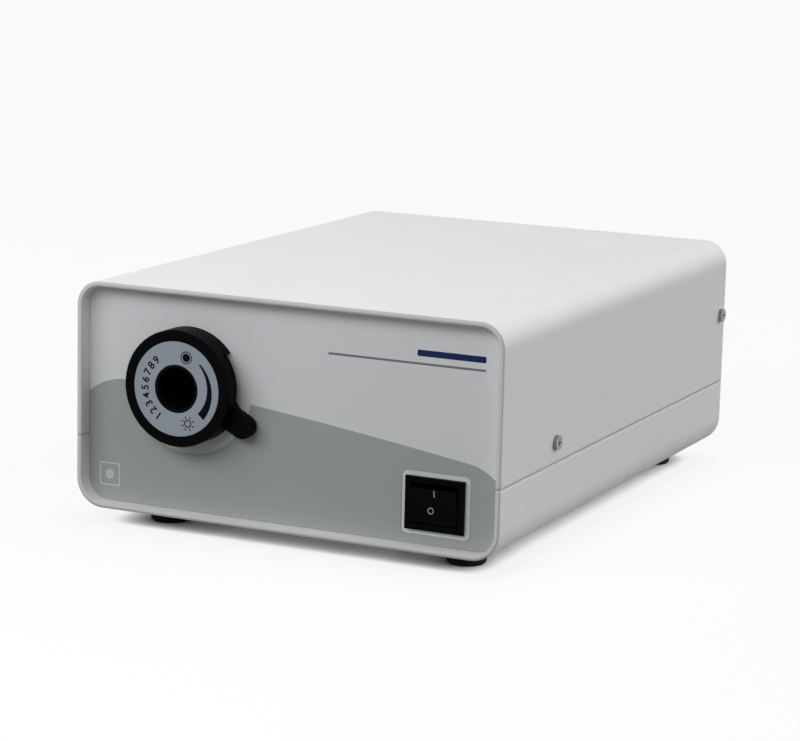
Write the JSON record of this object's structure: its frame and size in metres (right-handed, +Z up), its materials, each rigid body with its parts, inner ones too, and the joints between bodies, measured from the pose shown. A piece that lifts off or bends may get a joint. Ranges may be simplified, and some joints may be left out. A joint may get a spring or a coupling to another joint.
{
  "type": "fiber optic illuminator",
  "caption": "Bench light source in a rounded sheet housing, with a round light guide port, a lever-driven iris dimmer, a rocker switch and a mains inlet.",
  "frame": {"origin": "centre of the bounding box at the height that the feet stand on", "axes": "+X to the user's right, +Y from the front panel to the rear, +Z up"},
  "size_m": [0.2444, 0.3306, 0.128],
  "materials": {
    "housing_paint": "fine orange-peel powder coat, warm white",
    "panel_paint": "satin light grey paint",
    "film_grey": "printed overlay film, mid grey",
    "black_moulding": "satin black moulding",
    "switch_black": "smooth black moulding",
    "fan_black": "matt black moulding",
    "dial_label": "printed label, pale blue grey",
    "foot_rubber": "black rubber",
    "zinc_steel": "bright zinc plate",
    "port_anodised": "black anodised",
    "iris_steel": "blackened spring steel",
    "clear_glass": "clear polished",
    "reflector_coat": "coated glass reflector",
    "socket_ceramic": "white ceramic",
    "core_steel": "varnished laminations",
    "coil_tape": "amber insulating tape",
    "board_green": "green solder mask",
    "component_mix": "moulded components",
    "wire_brown": "brown wire insulation",
    "wire_red": "red wire insulation",
    "wire_green": "green wire insulation",
    "plated_brass": "plated brass"
  },
  "bodies": {
    "root": {"top_cover": "housing_paint", "base_tray": "housing_paint", "front_panel": "panel_paint", "wave_film": "film_grey", "rear_panel": "panel_paint", "foot_front_left": "foot_rubber", "foot_front_right": "foot_rubber", "foot_rear_left": "foot_rubber", "foot_rear_right": "foot_rubber", "foot_screws": "zinc_steel", "cover_screws": "zinc_steel", "panel_screws": "zinc_steel", "rear_screws": "zinc_steel", "port_drum": "black_moulding", "dial_plate": "dial_label", "drum_screws": "zinc_steel", "light_guide_sleeve": "port_anodised", "sleeve_screws": "zinc_steel", "iris_front_plate": "iris_steel", "iris_rear_plate": "iris_steel", "iris_pillars": "zinc_steel", "iris_nuts": "zinc_steel", "heat_glass": "clear_glass", "glass_holder": "zinc_steel", "lamp_reflector": "reflector_coat", "lamp_capsule": "clear_glass", "lamp_socket": "socket_ceramic", "lamp_bracket": "zinc_steel", "lamp_clip": "zinc_steel", "thermal_cutout": "fan_black", "transformer_core": "core_steel", "transformer_coil": "coil_tape", "transformer_frame": "zinc_steel", "transformer_screws": "zinc_steel", "fan_frame": "fan_black", "fan_screws": "zinc_steel", "circuit_board": "board_green", "board_parts": "component_mix", "board_posts": "zinc_steel", "switch_body": "switch_black", "switch_tabs": "plated_brass", "inlet_body": "switch_black", "inlet_pins": "plated_brass", "inlet_screws": "zinc_steel", "earth_stud": "plated_brass", "mains_wiring": "wire_brown", "low_voltage_wiring": "wire_red", "earth_wire": "wire_green"},
    "dimmer": {"lever_ring": "black_moulding", "drive_pins": "zinc_steel", "cam_ring": "iris_steel"},
    "blade_1": {"iris_blade_1": "iris_steel"},
    "blade_2": {"iris_blade_2": "iris_steel"},
    "blade_3": {"iris_blade_3": "iris_steel"},
    "blade_4": {"iris_blade_4": "iris_steel"},
    "blade_5": {"iris_blade_5": "iris_steel"},
    "rotor": {"fan_rotor": "fan_black"},
    "rocker": {"switch_rocker": "switch_black"},
    "fuse_carrier": {"fuse_drawer": "switch_black", "fuses": "clear_glass"}
  },
  "joints": [
    {"name": "dimmer_lever", "type": "hinge", "parent": "root", "child": "dimmer", "pos_m": [-0.058, -0.15575, 0.078], "axis": [0, -1, 0], "range_deg": [0, 48]},
    {"name": "blade_1_swing", "type": "hinge", "parent": "root", "child": "blade_1", "pos_m": [-0.036, -0.12175, 0.078], "axis": [0, -1, 0], "range_deg": [0, 25.4]},
    {"name": "blade_2_swing", "type": "hinge", "parent": "root", "child": "blade_2", "pos_m": [-0.0512, -0.12175, 0.09892], "axis": [0, -1, 0], "range_deg": [0, 25.4]},
    {"name": "blade_3_swing", "type": "hinge", "parent": "root", "child": "blade_3", "pos_m": [-0.0758, -0.12175, 0.09093], "axis": [0, -1, 0], "range_deg": [0, 25.4]},
    {"name": "blade_4_swing", "type": "hinge", "parent": "root", "child": "blade_4", "pos_m": [-0.0758, -0.12175, 0.06507], "axis": [0, -1, 0], "range_deg": [0, 25.4]},
    {"name": "blade_5_swing", "type": "hinge", "parent": "root", "child": "blade_5", "pos_m": [-0.0512, -0.12175, 0.05708], "axis": [0, -1, 0], "range_deg": [0, 25.4]},
    {"name": "fan_spin", "type": "hinge", "parent": "root", "child": "rotor", "pos_m": [-0.058, 0.13825, 0.069], "axis": [0, 1, 0], "continuous": true},
    {"name": "power_rocker", "type": "hinge", "parent": "root", "child": "rocker", "pos_m": [0.082, -0.14675, 0.0325], "axis": [-1, 0, 0], "range_deg": [0, 16]},
    {"name": "fuse_drawer_slide", "type": "slide", "parent": "root", "child": "fuse_carrier", "axis": [0, 1, 0], "range_m": [0, 0.022]}
  ],
  "couplings": [
    {"joint": "blade_1_swing", "follows": "dimmer_lever", "ratio": 0.52727},
    {"joint": "blade_2_swing", "follows": "dimmer_lever", "ratio": 0.52727},
    {"joint": "blade_3_swing", "follows": "dimmer_lever", "ratio": 0.52727},
    {"joint": "blade_4_swing", "follows": "dimmer_lever", "ratio": 0.52727},
    {"joint": "blade_5_swing", "follows": "dimmer_lever", "ratio": 0.52727}
  ]
}
